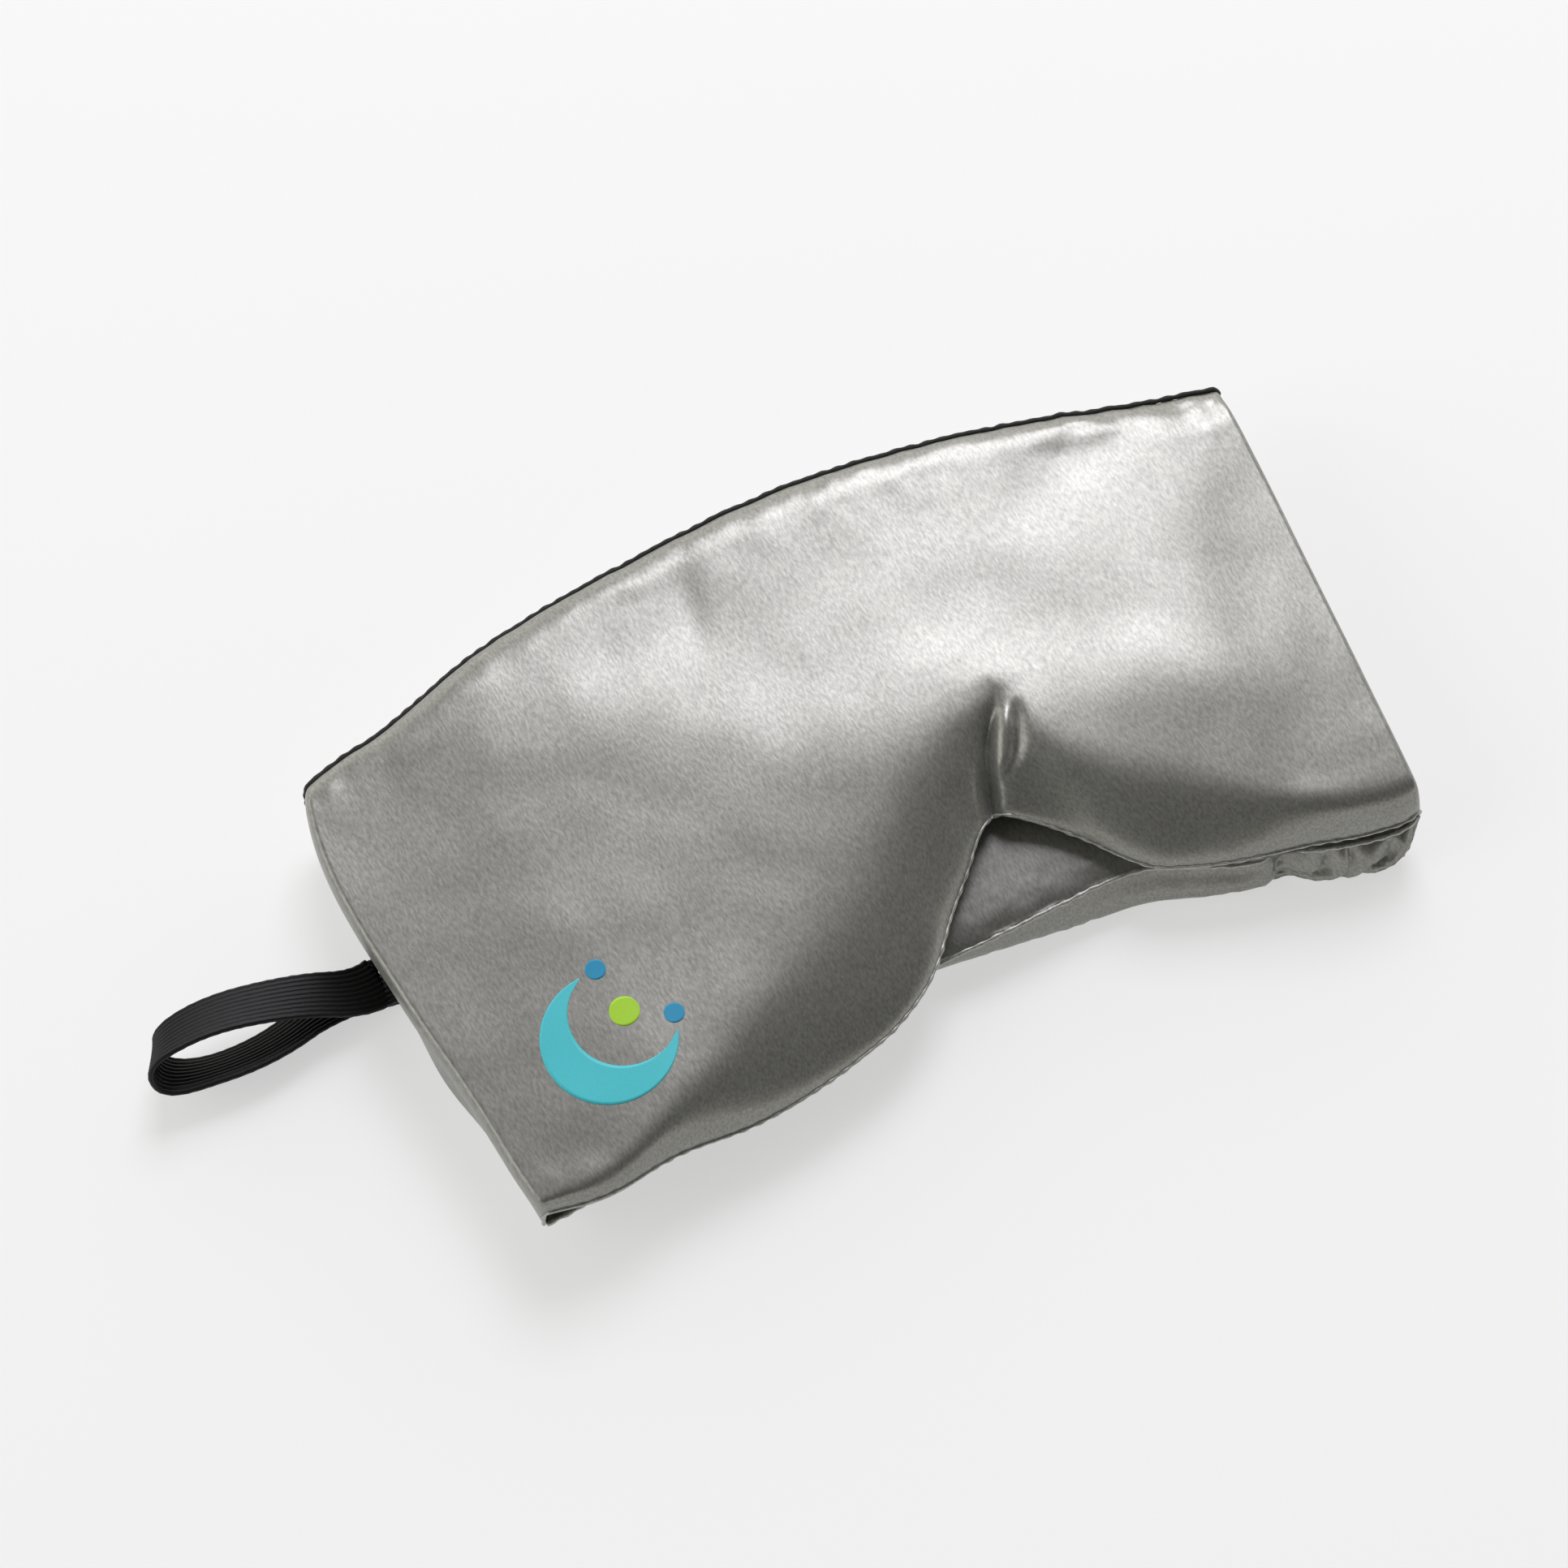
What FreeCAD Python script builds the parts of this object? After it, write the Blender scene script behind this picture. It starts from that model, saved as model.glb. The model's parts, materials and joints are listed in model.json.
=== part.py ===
import FreeCAD, Part
import math
import os

# A padded satin sleep mask with a flat elastic strap, folded for packing. The centre panel lies on top
# with its outer face up. The two wings are folded back beneath it, outer face down. Millimetres.
# +X runs along the folded mask, +Y points to its forehead edge, +Z is up. The origin is the middle of
# the folded mask's box, without the strap, on the surface that it lies on.

# Driving dimensions
FOLD_HEIGHT = 10.5          # height of the fold axes, half of the folded thickness
LAYER_GAP = 0.15            # half the gap between the centre panel and a wing below it
END_GAP = 0.3               # from a fold axis to the wing that turns about it
SATIN = 0.6
LINING = 0.4
LEFT_FOLD = ((-81.5, -51.5), (-87.3, 43.0))     # lower and upper end of the left fold axis, in plan
RIGHT_FOLD = ((77.0, -54.5), (87.2, 40.0))
CROWN = (3.0, 57.3)         # highest point of the forehead edge
LEFT_LOBE = (-22.0, -52.0, 22.0)    # corners of the cheek edge, each with its rounding radius
NOTCH_APEX = (16.7, -17.0, 3.0)
RIGHT_LOBE = (41.0, -46.0, 12.0)
TIP_ROUNDING = 14.0
SEAM_STAND = 0.8            # how far the turned edge seam stands out
SEAM_HEIGHT = 1.0
CENTRE_SEAM_Z = 14.0
WING_SEAM_Z = 7.0

STRAP_WIDTH = 10.0
STRAP_THICK = 1.0
STRAP_EXIT = (-97.0, 9.0)   # where the strap leaves the left fold, in plan
RUN_TURN = -12.0            # direction in plan of the runs under the wing, degrees from +X
LOOP_TURN = -1.0            # the same for the loop outside the fold
LEFT_TIP = 71.0             # distances along the runs' line from the exit
RIGHT_TIP = 85.0
LEFT_TIP_REACH = (27.0, 26.0)       # from the runs' line to the lower and upper corner of a wing tip
RIGHT_TIP_REACH = (28.0, 20.0)
CHANNEL = (11.5, 2.7)       # width and height of the dent that the strap makes under the left wing
BARTACK = (8.0, 0.8, 1.4)   # width, thickness, height

MOTIF_CENTRE = (-66.0, -26.5)
MOTIF_RADIUS = 11.5
PRINT_THICK = 0.15

# The strap's routes as distance along its line and height. The left end comes down from the left tip and
# runs back under the wing, the loop stands outside the fold, and the right end runs to the right tip.
LEFT_RUN_Z = 1.9
RIGHT_RUN_Z = 0.75
TAB_TOP = 4.4
TAB_REACH = 0.8             # from a wing tip to the middle of the strap's turned-up end
LEFT_END_ROUTE = (
    (LEFT_TIP + TAB_REACH, TAB_TOP),
    (LEFT_TIP + TAB_REACH, LEFT_RUN_Z),
    (0.0, LEFT_RUN_Z),
)
LOOP_ROUTE = (
    (0.0, LEFT_RUN_Z),
    (-6.0, LEFT_RUN_Z + 0.4),
    (-18.0, 9.0),
    (-34.0, 12.6),
    (-44.5, 12.0),
    (-44.5, RIGHT_RUN_Z + 1.2),
    (-24.0, RIGHT_RUN_Z),
    (0.0, RIGHT_RUN_Z),
)
RIGHT_END_ROUTE = (
    (0.0, RIGHT_RUN_Z),
    (RIGHT_TIP - TAB_REACH, RIGHT_RUN_Z),
    (RIGHT_TIP - TAB_REACH, TAB_TOP),
)

FOLDED_THICK = 2 * FOLD_HEIGHT
UP = FreeCAD.Vector(0, 0, 1)


def at(point, height=0.0):
    return FreeCAD.Vector(point[0], point[1], height)


def turned(degrees):
    return FreeCAD.Vector(math.cos(math.radians(degrees)), math.sin(math.radians(degrees)), 0)


def on_strap(along, across=0.0, turn=RUN_TURN):
    """A point in plan, measured along and across a line through the strap's exit."""
    point = at(STRAP_EXIT) + turned(turn) * along + turned(turn + 90) * across
    return (point.x, point.y)


def rounded_edges(corners, radii):
    """Straight edges through the corners, joined by tangent arcs where a corner's radius isn't 0."""
    edges = []
    last = corners[0]
    for before, corner, after, radius in zip(corners, corners[1:], corners[2:], radii[1:]):
        if radius:
            back = (before - corner).normalize()
            on = (after - corner).normalize()
            half = back.getAngle(on) / 2
            reach = radius / math.tan(half)
            inward = (back + on).normalize()
            start = corner + back * reach
            middle = corner + inward * (radius / math.sin(half) - radius)
            edges.append(Part.LineSegment(last, start).toShape())
            edges.append(Part.Arc(start, middle, corner + on * reach).toShape())
            last = corner + on * reach
        else:
            edges.append(Part.LineSegment(last, corner).toShape())
            last = corner
    edges.append(Part.LineSegment(last, corners[-1]).toShape())
    return edges


def plan_face(edges):
    return Part.Face(Part.Wire(Part.__sortEdges__(edges)))


def layer(face, low, high):
    """The plan face as a slab between two heights."""
    slab = face.copy()
    slab.translate(UP * low)
    return slab.extrude(UP * (high - low))


def centre_outline():
    """The centre panel between its fold axes: an arched forehead edge and a cheek edge with the nose notch."""
    forehead = Part.Arc(at(LEFT_FOLD[1]), at(CROWN), at(RIGHT_FOLD[1])).toShape()
    points = (RIGHT_FOLD[1], RIGHT_FOLD[0], RIGHT_LOBE, NOTCH_APEX, LEFT_LOBE, LEFT_FOLD[0], LEFT_FOLD[1])
    radii = [point[2] if len(point) == 3 else 0 for point in points]
    return plan_face([forehead] + rounded_edges([at(point) for point in points], radii))


def wing_outline(fold, tip, reach, side):
    """One wing from its fold axis to a rounded tip that is square to the strap. side is +1 on the left."""
    lower_tip = on_strap(tip, -reach[0])
    upper_tip = on_strap(tip, reach[1])
    gap = FreeCAD.Vector(END_GAP * side, 0, 0)
    lower = at(fold[0]) + gap
    upper = at(fold[1]) + gap
    corners = [lower, at(lower_tip), at(upper_tip), upper, lower]
    return plan_face(rounded_edges(corners, [0, TIP_ROUNDING, TIP_ROUNDING, 0, 0]))


def beyond(fold, side, reach=30.0):
    """A block on the outer side of a fold axis."""
    line = at(fold[1]) - at(fold[0])
    outward = FreeCAD.Vector(-line.y, line.x, 0).normalize() * side
    extra = line * 0.2
    start = at(fold[0]) - extra
    end = at(fold[1]) + extra
    corners = [start, end, end + outward * reach, start + outward * reach, start]
    block = Part.Face(Part.makePolygon(corners)).extrude(UP * (FOLDED_THICK + 10))
    block.translate(UP * -5)
    return block


def channel(extra=0.0):
    """The space of the strap under the left wing, grown by extra for the layers that drape over it."""
    width, height = CHANNEL
    half = width / 2 + extra
    ends = (-30.0, LEFT_TIP + 20)
    corners = [(ends[0], -half), (ends[1], -half), (ends[1], half), (ends[0], half), (ends[0], -half)]
    face = Part.Face(Part.makePolygon([at(on_strap(*corner)) for corner in corners]))
    return layer(face, -1.0, height + extra)


def fold_roll(fold, side):
    """The turned-over stretch at a fold: a half round of wadding and the satin around it."""
    line = at(fold[1]) - at(fold[0])
    axis_start = at(fold[0], FOLD_HEIGHT)
    outer = Part.makeCylinder(FOLD_HEIGHT, line.Length, axis_start, line).common(beyond(fold, side))
    inner = Part.makeCylinder(FOLD_HEIGHT - SATIN, line.Length, axis_start, line).common(beyond(fold, side))
    return {"wadding": inner, "satin": outer.cut(inner)}


def seam(face, low, folds):
    """The turned seam as a low rib round the plan face, open along the folds. folds: (fold, side) pairs."""
    rib = layer(face.makeOffset2D(SEAM_STAND), low, low + SEAM_HEIGHT).cut(layer(face, low, low + SEAM_HEIGHT))
    for fold, side in folds:
        rib = rib.cut(beyond(fold, side))
    return rib


def centre_panel():
    face = centre_outline()
    low = FOLD_HEIGHT + LAYER_GAP
    levels = (low, low + SATIN, FOLDED_THICK - SATIN - LINING, FOLDED_THICK - SATIN, FOLDED_THICK)
    names = ("face_satin", "wadding", "blackout_lining", "outer_satin")
    parts = {f"centre_{name}": layer(face, *levels[i:i + 2]) for i, name in enumerate(names)}
    ribs = seam(face, CENTRE_SEAM_Z, ((LEFT_FOLD, 1), (RIGHT_FOLD, -1))).Solids
    ribs.sort(key=lambda rib: rib.CenterOfMass.y)
    parts["centre_cheek_seam"], parts["centre_forehead_seam"] = ribs
    return parts


def wing(name, face, fold, side, dent):
    """One wing's layers from the surface up. dent(extra) is the strap's channel, or None."""
    top = FOLD_HEIGHT - LAYER_GAP

    def draped(thick):
        slab = layer(face, 0, thick)
        if dent:
            slab = slab.fuse(dent(thick).common(layer(face, 0, top)))
        return slab

    skin = draped(SATIN)
    lined = draped(SATIN + LINING)
    wadding = layer(face, 0, top - SATIN).cut(lined)
    if dent:
        lined = lined.cut(dent())
        skin = skin.cut(dent())
    return {
        f"{name}_outer_satin": skin.removeSplitter(),
        f"{name}_blackout_lining": lined.cut(skin).removeSplitter(),
        f"{name}_wadding": wadding.removeSplitter(),
        f"{name}_face_satin": layer(face, top - SATIN, top),
        f"{name}_edge_seam": seam(face, WING_SEAM_Z, ((fold, side),)),
    }


def band(name, route, turn):
    """A flat strap in the upright plane through its line, along runs joined by tangent arcs."""
    points = [at(on_strap(along, turn=turn), height) for along, height in route]
    radii = [0.0]
    for before, corner, after in zip(points, points[1:], points[2:]):
        bend = (corner - before).getAngle(after - corner)
        shorter = min((corner - before).Length, (after - corner).Length)
        radii.append(0.45 * shorter / math.tan(bend / 2))
    path = Part.Wire(rounded_edges(points, radii))
    heading = (points[1] - points[0]).normalize()
    wide_way = turned(turn + 90) * (STRAP_WIDTH / 2)
    thick_way = heading.cross(wide_way).normalize() * (STRAP_THICK / 2)
    corners = [points[0] + wide_way * a + thick_way * b for a, b in ((1, 1), (-1, 1), (-1, -1), (1, -1), (1, 1))]
    solid = path.makePipeShell([Part.makePolygon(corners)], True, False)
    print(f"{name}: length {path.Length:.1f} mm, bend radii", [round(radius, 1) for radius in radii[1:]])
    print(f"{name}: volume {solid.Volume:.1f}, section times length {path.Length * STRAP_WIDTH * STRAP_THICK:.1f}")
    return solid


def elastic_strap():
    """The strap's left end, its loop and its right end. The loop turns aside at the exit, so it is cut to fit."""
    left = band("strap_left_end", LEFT_END_ROUTE, RUN_TURN)
    right = band("strap_right_end", RIGHT_END_ROUTE, RUN_TURN)
    loop = band("strap_loop", LOOP_ROUTE, LOOP_TURN).cut(left).cut(right)
    return {"strap_left_end": left, "strap_loop": loop, "strap_right_end": right}


def bartack(tip, side):
    """Dense stitches on a wing tip just above the strap's end. side points away from the wing."""
    width, thick, height = BARTACK
    near, far = sorted((tip, tip + thick * side))
    corners = [(near, -width / 2), (far, -width / 2), (far, width / 2), (near, width / 2), (near, -width / 2)]
    face = Part.Face(Part.makePolygon([at(on_strap(*corner)) for corner in corners]))
    return layer(face, TAB_TOP + 0.1, TAB_TOP + 0.1 + height)


def motif():
    """A printed crescent with three dots on the centre panel."""
    base = at(MOTIF_CENTRE, FOLDED_THICK)
    disc = Part.makeCylinder(MOTIF_RADIUS, PRINT_THICK, base)
    bite_place = base + turned(35) * (MOTIF_RADIUS * 0.45)
    bite = Part.makeCylinder(MOTIF_RADIUS * 0.82, PRINT_THICK, bite_place)
    prints = {"print_crescent": disc.cut(bite)}
    dots = []
    for turn, reach, radius in ((35, 0.45, 2.6), (75, 1.05, 1.7), (-5, 1.0, 1.7)):
        place = base + turned(turn) * (MOTIF_RADIUS * reach)
        dots.append(Part.makeCylinder(radius, PRINT_THICK, place))
    prints["print_dots"] = Part.makeCompound(dots)
    return prints


def sleep_mask():
    """Every piece by name. The strap's pieces come apart, because they don't count in the mask's box."""
    parts = centre_panel()
    left_face = wing_outline(LEFT_FOLD, LEFT_TIP, LEFT_TIP_REACH, 1)
    right_face = wing_outline(RIGHT_FOLD, RIGHT_TIP, RIGHT_TIP_REACH, -1)
    parts.update(wing("left_wing", left_face, LEFT_FOLD, 1, channel))
    parts.update(wing("right_wing", right_face, RIGHT_FOLD, -1, None))
    for name, fold, side in (("left", LEFT_FOLD, 1), ("right", RIGHT_FOLD, -1)):
        for piece, solid in fold_roll(fold, side).items():
            parts[f"{name}_fold_{piece}"] = solid.cut(channel()) if name == "left" else solid
    parts["left_strap_bartack"] = bartack(LEFT_TIP, 1)
    parts["right_strap_bartack"] = bartack(RIGHT_TIP, -1)
    parts.update(motif())
    return parts, elastic_strap()


def main():
    os.makedirs("parts", exist_ok=True)
    parts, strap = sleep_mask()
    box = Part.makeCompound(list(parts.values())).BoundBox
    to_origin = FreeCAD.Vector(-box.Center.x, -box.Center.y, 0)
    for name, solid in {**parts, **strap}.items():
        solid.translate(to_origin)
        print(f"{name}: {len(solid.Solids)} solid, {solid.Volume:.1f} mm3, valid {solid.isValid()}")
        solid.exportStep(f"parts/{name}.step")
    for name, fold in (("left", LEFT_FOLD), ("right", RIGHT_FOLD)):
        line = (at(fold[1]) - at(fold[0])).normalize()
        print(f"{name} fold axis through", at(fold[0], FOLD_HEIGHT) + to_origin, "along", line)
    print("moved by", to_origin, "box", box.XLength, box.YLength, box.ZLength)


main()
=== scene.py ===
"""A padded satin sleep mask, folded for packing: cushions, seams, elastic strap, print, floor and studio."""
import json
import math

import bmesh
import bpy
import numpy as np
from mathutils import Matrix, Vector, noise
from mathutils.bvhtree import BVHTree
from mathutils.interpolate import poly_3d_calc


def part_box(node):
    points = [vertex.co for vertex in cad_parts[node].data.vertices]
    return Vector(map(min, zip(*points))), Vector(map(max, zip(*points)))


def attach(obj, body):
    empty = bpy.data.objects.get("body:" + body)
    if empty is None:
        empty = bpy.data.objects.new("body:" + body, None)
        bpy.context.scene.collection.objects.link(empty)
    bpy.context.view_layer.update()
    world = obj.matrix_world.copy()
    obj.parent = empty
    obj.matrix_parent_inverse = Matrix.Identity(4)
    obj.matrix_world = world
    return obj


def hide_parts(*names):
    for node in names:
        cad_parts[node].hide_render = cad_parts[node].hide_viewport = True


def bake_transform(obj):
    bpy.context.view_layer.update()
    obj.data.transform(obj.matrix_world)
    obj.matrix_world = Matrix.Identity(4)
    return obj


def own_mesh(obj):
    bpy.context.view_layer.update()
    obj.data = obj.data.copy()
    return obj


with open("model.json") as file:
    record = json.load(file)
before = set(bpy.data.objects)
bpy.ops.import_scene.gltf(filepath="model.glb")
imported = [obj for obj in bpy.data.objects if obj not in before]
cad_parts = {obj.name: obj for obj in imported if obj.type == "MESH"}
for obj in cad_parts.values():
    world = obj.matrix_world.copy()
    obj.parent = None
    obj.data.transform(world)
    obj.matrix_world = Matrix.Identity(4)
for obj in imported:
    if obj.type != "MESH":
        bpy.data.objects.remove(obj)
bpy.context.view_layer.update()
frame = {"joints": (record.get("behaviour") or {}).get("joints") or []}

# Lengths are in millimetres here and become metres when a mesh is made.
MM = 0.001
SIDES = ("left", "right")
LAYERS = ("face_satin", "wadding", "blackout_lining", "outer_satin")
FOLD_HEIGHT = frame["joints"][0]["pos_m"][2] / MM
SKIN_GAP = 0.15           # from the plane of the fold axes to each facing satin
KNUCKLE_GAP = 0.4         # the same beyond the axes, inside the folds
OVERHANG = 1.3            # how far the panel's top stands out over its left fold
CENTRE_FOLD = (1.8, 2.5)  # width and squareness of the panel's turn at a fold
WING_FOLD = (10.5, 2.2)   # the same for a wing
CHEEK_END_Y = -50.0       # where the reach of a fold is measured at its cheek end
FOREHEAD_END_Y = 40.0     # the same at its forehead end

CROWN_TOP = 22.6          # the centre panel's highest padding
CENTRE_SEAM_Z = 18.5      # the forehead seam
LOBE_SEAM_Z = 12.6        # the cheek seam under the lobes
WING_SEAM_Z = 7.0
RIM_SHARE = 0.58          # how much of the crown's rise is in the rolled rim of the cheek edge
RIM_WIDTH = 9.0           # how far a wing's padding takes to reach its full thickness
PLEAT_DEPTH = 2.0         # the sharp valley above the notch
HOLLOW_DEPTH = 2.2        # the soft hollow that the valley lies in
LOOP_RISE = 0.8           # the small loop of cloth beside the valley, and the groove beyond it
CREASE_DEPTH = 3.2        # the right wing's creases at its fold
EDGE_WAVE = 0.45          # the waves of a wing's gathered cheek edge
TIP_ROUND = 9.0           # how far a wing's tip stands out between its corners
SLIVER = 2.2              # how far the left wing peeps out beside the panel

SEAM_RADIUS = 0.34
FOREHEAD_SEAM_RADIUS = 0.55
WING_SEAM_RADIUS = 0.5
SEAM_STEP = 0.6           # from one ring of a seam's ridge to the next
STITCH = 3.0
# The forehead seam's dark colour is a painted shadow.
FOREHEAD_LIFT = np.array([0.0, 0.3, 0.5])  # the dark forehead seam stands out and up from its rim

CLOTH_SETTINGS = {
    "quality": 5, "mass": 0.12, "tension_stiffness": 30, "compression_stiffness": 30, "shear_stiffness": 8,
    "bending_stiffness": 0.05, "vertex_group_mass": "held", "vertex_group_shrink": "slack", "shrink_min": 0.0,
    "shrink_max": -0.05,
}
SETTLE_FRAMES = 24
LARGEST_SHIFT = 1.3       # how far the simulated satin may move from its drawn place
LARGEST_FREEDOM = 0.97
CUT_CLEARANCE = 0.3       # degrees between each cut face and the plane where panel and wing meet when open
CUT_MERGE = 2e-6          # metres within which a point counts as on the cut

# The centre panel's outline in plan: the forehead edge, and the cheek edge on both sides of the notch.
FOREHEAD = (
    (-95.5, 41.6), (-88.0, 43.9), (-80.5, 45.0), (-56.0, 52.0), (-16.0, 56.4), (6.7, 57.0), (35.0, 53.9),
    (66.0, 46.5), (84.0, 41.0), (99.5, 36.8),
)
NOTCH = (17.5, -18.9)
CHEEK_LEFT = (
    (-90.2, -50.6), (-78.8, -52.8), (-63.8, -51.2), (-45.5, -51.9), (-26.5, -49.5), (-17.0, -47.0),
    (-6.0, -40.5), (1.3, -32.8), (8.1, -26.5), (13.5, -21.2), NOTCH,
)
CHEEK_RIGHT = (
    NOTCH, (25.0, -24.9), (30.4, -30.7), (36.4, -38.3), (39.7, -41.5), (45.0, -44.2), (52.1, -46.9),
    (67.2, -50.9), (79.3, -54.2), (86.0, -55.0), (92.0, -53.0),
)
# Where the flat top of the panel turns down towards the cheek edge.
CREST = (
    (-91.0, -49.6), (-78.0, -50.2), (-64.0, -46.8), (-51.0, -41.8), (-40.0, -34.5), (-30.0, -27.0),
    (-12.0, -15.0), (6.7, -5.0), (20.0, -1.0), (27.0, -5.5), (32.0, -15.0), (38.2, -21.5), (50.0, -32.0),
    (63.0, -42.0), (75.5, -48.5), (92.0, -51.5),
)
# How far each fold stands out from its axis, from its cheek end to its forehead end.
LEFT_REACH = ((0.0, 9.0), (0.25, 9.6), (0.5, 11.2), (0.85, 11.0), (1.0, 8.0))
RIGHT_REACH = ((0.0, 12.0), (0.5, 11.6), (0.85, 11.2), (1.0, 10.6))
# Soft dents and swellings on the top: middle, half length, half width, direction in degrees, height.
TOP_MARKS = (
    ((22.0, -4.0), 60.0, 22.0, -14.0, 1.4),
    ((-15.0, 44.0), 10.0, 3.0, 75.0, -0.35),
    ((-30.0, 25.0), 40.0, 13.0, -22.0, 0.5),
    ((0.0, 14.0), 34.0, 12.0, -25.0, -0.4),
    ((62.0, 36.0), 16.0, 7.0, 20.0, -0.5),
    ((74.0, 12.0), 24.0, 9.0, 65.0, 0.4),
    ((60.0, -12.0), 22.0, 9.0, -35.0, 0.5),
    ((44.0, 4.0), 20.0, 9.0, -50.0, -0.3),
    ((90.0, 28.0), 20.0, 12.0, 75.0, 0.5),
)
# The pinched pleat above the notch, as (y, x): its valley, and the groove beyond its loop of cloth.
VALLEY = ((-20.0, 17.0), (-16.0, 18.2), (-11.0, 20.0), (-5.5, 23.2), (-1.0, 27.0))
LOOP_GROOVE = ((-15.0, 20.5), (-13.4, 24.2), (-11.0, 26.2), (-5.4, 28.8), (-2.0, 29.6))
# Each wing's edges in plan, and its tip from its cheek corner to its forehead corner.
WING_EDGES = {
    "left": {
        "cheek": ((-92.0, -49.7), (-81.0, -50.0), (-62.0, -45.5), (-42.0, -37.5), (-30.0, -33.0)),
        "forehead": ((-96.0, 42.5), (-86.0, 42.0), (-55.0, 31.5), (-21.0, 18.0)),
        "tip": ((-33.0, -33.3), (-22.1, 18.4)),
    },
    "right": {
        "cheek": ((-21.0, -36.5), (-3.0, -38.5), (11.0, -39.0), (28.0, -38.9), (37.0, -39.5), (52.0, -45.5),
                  (67.0, -50.6), (80.0, -54.6), (86.0, -55.2), (92.0, -53.2)),
        "forehead": ((-11.0, 9.0), (30.0, 22.0), (60.0, 31.0), (87.0, 39.5), (99.0, 40.5)),
        "tip": ((-19.6, -37.4), (-9.6, 9.6)),
    },
}
# How far the right wing's rolled cheek edge shows beyond its seam, as (x, width).
SWELL = (
    (-20, 0.0), (-4, 1.6), (11, 4.2), (27, 7.0), (42, 7.8), (60, 6.5), (74, 6.0), (84, 5.0), (92, 0.0),
)


def through(points):
    """A smooth function of one value through points (value, result)."""
    known, result = np.array(points, float).T
    slopes = np.gradient(result, known)

    def curve(value):
        value = np.clip(value, known[0], known[-1])
        i = np.clip(np.searchsorted(known, value, side="right") - 1, 0, len(known) - 2)
        width = known[i + 1] - known[i]
        s = (value - known[i]) / width
        start = (2 * s**3 - 3 * s**2 + 1) * result[i] + (s**3 - 2 * s**2 + s) * width * slopes[i]
        end = (3 * s**2 - 2 * s**3) * result[i + 1] + (s**3 - s**2) * width * slopes[i + 1]
        return start + end

    return curve


def smooth(value, low, high):
    """0 below low, 1 above high and an even rise between."""
    t = np.clip((value - low) / (high - low), 0, 1)
    return t * t * (3 - 2 * t)


def ease(distance, width, power=2.0):
    """A quarter round: 0 at distance 0, and 1 from width on. A higher power is squarer."""
    t = 1 - np.clip(distance / width, 0, 1)
    return np.maximum(1 - t**power, 0) ** (1 / power)


def soft_limit(value, softness):
    """The value up to 1, where it levels out smoothly."""
    return value - softness * np.logaddexp(0, (value - 1) / softness)


def bump(distance, width):
    return np.exp(-((distance / width) ** 2))


def ripple(points, wavelength, seed):
    """Smooth noise from about -1 to 1 at points in plan."""
    flat = points.reshape(-1, points.shape[-1])
    values = [noise.noise(Vector((p[0] / wavelength, p[1] / wavelength, seed))) for p in flat]
    return np.array(values).reshape(points.shape[:-1])


def spaced(length, step, fine, spots, reach):
    """Shares from 0 to 1, step apart, but fine apart at the spots, which are places along the length."""
    places = np.linspace(0, length, 4000)
    density = np.full(places.shape, 1 / step)
    for spot in spots:
        density += (1 / fine - 1 / step) * bump(places - spot, reach)
    total = np.concatenate([[0], np.cumsum((density[1:] + density[:-1]) / 2 * np.diff(places))])
    count = int(round(total[-1]))
    shares = np.interp(np.linspace(0, total[-1], count + 1), total, places) / length
    for spot in spots:
        shares[np.argmin(abs(shares - spot / length))] = spot / length
    return shares


def joint_named(name):
    return next(joint for joint in frame["joints"] if joint["name"] == name)


def fold_axis(joint):
    """The x of a fold's axis as a function of y."""
    found = joint_named(joint)
    x, y = found["pos_m"][0] / MM, found["pos_m"][1] / MM
    lean = found["axis"][0] / found["axis"][1]
    return lambda height: x + (height - y) * lean


forehead_y = through(FOREHEAD)
cheek_left_y = through(CHEEK_LEFT)
cheek_right_y = through(CHEEK_RIGHT)
crest_y = through(CREST)
left_axis_x = fold_axis("left_fold")
right_axis_x = fold_axis("right_fold")
# Shares of the way from a cheek edge to a forehead edge, closer together near both.
ROWS = spaced(100.0, step=1.2, fine=0.35, spots=(0.0, 100.0), reach=3.0)


def cheek_y(x):
    """The cheek edge's y, on both sides of the notch."""
    return np.where(x < NOTCH[0], cheek_left_y(x), cheek_right_y(x))


def split_line(axis_x, reach, side):
    """The outermost line of a fold, one point for each row. side is -1 on the left."""
    reach_at = through(reach)
    low = axis_x(CHEEK_END_Y) + side * reach_at(0.0)
    high = axis_x(FOREHEAD_END_Y) + side * reach_at(1.0)
    y = (1 - ROWS) * cheek_y(low) + ROWS * forehead_y(high)
    return np.stack([axis_x(y) + side * reach_at(ROWS), y], -1)


LEFT_SPLIT = split_line(left_axis_x, LEFT_REACH, -1)
RIGHT_SPLIT = split_line(right_axis_x, RIGHT_REACH, 1)
SPLITS = {"left": LEFT_SPLIT, "right": RIGHT_SPLIT}


def patch(left, right, low, high, columns):
    """Plan points between a left and a right line given by rows, and a low and a high edge y(x)."""
    u = columns[:, None]
    x = (1 - u) * left[None, :, 0] + u * right[None, :, 0]
    low_x = x[:, :1]
    high_x = x[:, -1:]
    y = (1 - ROWS) * low(low_x) + ROWS * high(high_x)
    blend = (1 - u) * (left[None, :, 1] - y[:1]) + u * (right[None, :, 1] - y[-1:])
    return np.stack([x, y + blend], -1)


def slant(edge, x):
    """The cosine of an edge's slope, which turns a distance along y into one square to the edge."""
    slope = (edge(x + 0.5) - edge(x - 0.5))
    return 1 / np.sqrt(1 + slope**2)


def edge_distances(points):
    """How far points of the centre panel lie from its cheek edge and from its forehead edge."""
    x, y = points[..., 0], points[..., 1]
    return (y - cheek_y(x)) * slant(cheek_y, x), (forehead_y(x) - y) * slant(forehead_y, x)


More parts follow.
